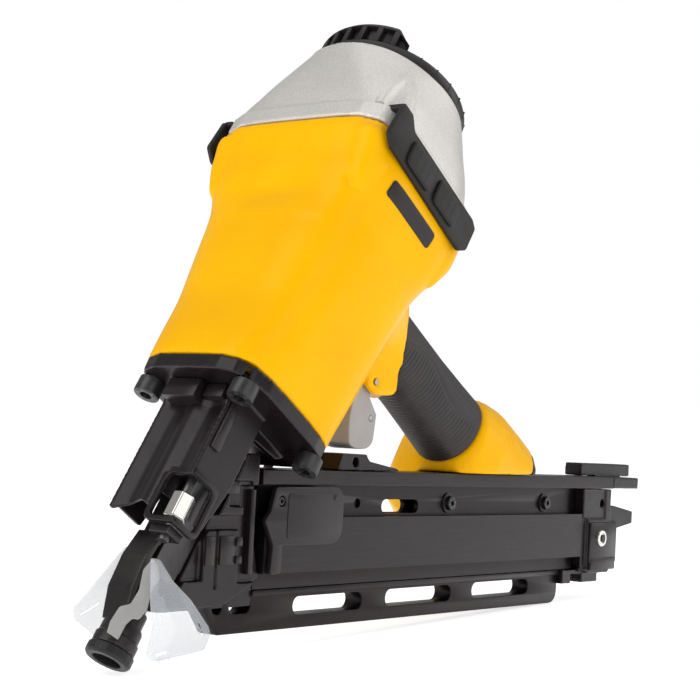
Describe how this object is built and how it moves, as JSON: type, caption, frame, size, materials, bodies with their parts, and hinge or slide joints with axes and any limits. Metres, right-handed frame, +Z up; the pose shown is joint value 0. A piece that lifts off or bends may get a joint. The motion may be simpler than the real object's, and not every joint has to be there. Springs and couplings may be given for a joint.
{
  "type": "pneumatic framing nailer",
  "caption": "Pneumatic nail gun with a yellow body, light silver cylinder cap, black exhaust deflector and grip, trigger, nose contact trip and slanted stick magazine.",
  "frame": {"origin": "centre of the base of the bounding box, under the tool as it stands on nose tip and magazine", "axes": "+Z up, +X along the magazine away from the nose, which is the longest extent, +Y to the side with the air inlet, the shortest extent; the drive axis leans 35 degrees from +Z towards +X"},
  "size_m": [0.5122, 0.1216, 0.3185],
  "materials": {
    "yellow_paint": "painted yellow, satin gloss",
    "silver_paint": "painted light silver grey, fine metallic satin",
    "black_casting": "painted black, satin",
    "black_anodised": "brushed satin, black anodised",
    "black_steel": "black oxide",
    "steel": "satin",
    "nickel_steel": "bright",
    "spring_steel": "satin",
    "bare_aluminium": "machined",
    "dark_fastener": "black oxide",
    "valve_brass": "machined",
    "black_plastic": "fine texture",
    "grey_plastic": "fine texture",
    "grip_rubber": "ribbed matt",
    "bumper_rubber": "matt",
    "tip_rubber": "satin",
    "seal_rubber": "smooth",
    "clear_plastic": "clear, polished"
  },
  "bodies": {
    "tool": {"housing": "yellow_paint", "cap_gasket": "seal_rubber", "cylinder_cap": "silver_paint", "exhaust_cap_screw": "dark_fastener", "cap_bolt_1": "dark_fastener", "cap_bolt_2": "dark_fastener", "cap_bolt_3": "dark_fastener", "cap_bolt_4": "dark_fastener", "side_bumper_right": "bumper_rubber", "side_bumper_left": "bumper_rubber", "cylinder_sleeve": "bare_aluminium", "piston_bumper": "bumper_rubber", "head_valve_spring": "spring_steel", "trigger_valve_body": "valve_brass", "trigger_valve_cap": "valve_brass", "trigger_valve_spring": "spring_steel", "trigger_pin": "steel", "nose_casting": "black_casting", "nose_bolt_1": "dark_fastener", "nose_bolt_2": "dark_fastener", "nose_bolt_3": "dark_fastener", "nose_bolt_4": "dark_fastener", "nose_guide": "black_steel", "trip_spring": "spring_steel", "rubber_grip": "grip_rubber", "handle_end": "yellow_paint", "air_inlet_cap": "black_casting", "magazine_head": "black_casting", "magazine_body": "black_anodised", "magazine_top_rail": "black_anodised", "magazine_bottom_rail": "black_anodised", "cover_plate": "black_plastic", "rail_bracket": "black_casting", "magazine_end_casting": "black_casting", "rail_end_block": "black_casting", "magazine_screw_1": "dark_fastener", "magazine_screw_2": "dark_fastener"},
    "exhaust_cap": {"exhaust_cap": "black_plastic"},
    "driver": {"piston": "bare_aluminium", "piston_seal": "seal_rubber", "driver_blade": "steel"},
    "head_valve": {"head_valve": "black_plastic", "head_valve_seal": "seal_rubber"},
    "trigger": {"trigger": "grey_plastic", "contact_lever_pin": "steel"},
    "contact_lever": {"contact_lever": "steel"},
    "valve_stem": {"trigger_valve_stem": "steel"},
    "contact_trip": {"trip_arm": "black_steel", "depth_rod": "black_steel"},
    "depth_nut": {"depth_nut": "nickel_steel"},
    "trip_foot": {"trip_foot": "black_steel", "no_mar_tip": "tip_rubber", "debris_shield_right": "clear_plastic", "debris_shield_left": "clear_plastic"},
    "pusher": {"nail_pusher": "black_steel"},
    "magazine_latch": {"magazine_latch": "black_plastic"}
  },
  "joints": [
    {"name": "exhaust_cap_turn", "type": "hinge", "parent": "tool", "child": "exhaust_cap", "pos_m": [-0.05258, 0, 0.28415], "axis": [0.5741, 0, 0.8188], "continuous": true},
    {"name": "driver_stroke", "type": "slide", "parent": "tool", "child": "driver", "axis": [-0.5741, 0, -0.8188], "range_m": [0, 0.106]},
    {"name": "head_valve_lift", "type": "slide", "parent": "tool", "child": "head_valve", "axis": [0.5741, 0, 0.8188], "range_m": [0, 0.006], "stiffness_N_per_m": 4000, "springref_m": -0.003, "deforming": ["head_valve_spring"]},
    {"name": "trigger_pull", "type": "hinge", "parent": "tool", "child": "trigger", "pos_m": [-0.07393, 0, 0.1318], "axis": [0, -1, 0], "range_deg": [0, 12.2], "stiffness_Nm_per_rad": 0.3, "springref_deg": -22.92},
    {"name": "contact_lever_swing", "type": "hinge", "parent": "trigger", "child": "contact_lever", "pos_m": [-0.07062, 0, 0.11299], "axis": [0, 1, 0], "range_deg": [0, 17]},
    {"name": "valve_stem_travel", "type": "slide", "parent": "tool", "child": "valve_stem", "axis": [0.5741, 0, 0.8188], "range_m": [0, 0.003], "deforming": ["trigger_valve_spring"]},
    {"name": "contact_trip_press", "type": "slide", "parent": "tool", "child": "contact_trip", "axis": [0.5741, 0, 0.8188], "range_m": [0, 0.012], "stiffness_N_per_m": 1500, "springref_m": -0.012, "deforming": ["trip_spring"]},
    {"name": "depth_nut_turn", "type": "hinge", "parent": "contact_trip", "child": "depth_nut", "pos_m": [-0.21837, -0.013, 0.07247], "axis": [0.5741, 0, 0.8188], "range_deg": [0, 1095]},
    {"name": "depth_adjust", "type": "slide", "parent": "contact_trip", "child": "trip_foot", "axis": [0.5741, 0, 0.8188], "range_m": [0, 0.00375]},
    {"name": "pusher_travel", "type": "slide", "parent": "tool", "child": "pusher", "axis": [0.9994, 0, -0.0356], "range_m": [0, 0.23]},
    {"name": "magazine_latch_pull", "type": "slide", "parent": "tool", "child": "magazine_latch", "axis": [0.9994, 0, -0.0356], "range_m": [0, 0.004], "stiffness_N_per_m": 500, "springref_m": -0.004}
  ],
  "couplings": [
    {"joint": "contact_lever_swing", "follows": "contact_trip_press", "rad_per_m": 23.271},
    {"joint": "trigger_pull", "follows": "valve_stem_travel", "rad_per_m": 69.813},
    {"joint": "depth_nut_turn", "follows": "depth_adjust", "rad_per_m": 5026.5}
  ]
}
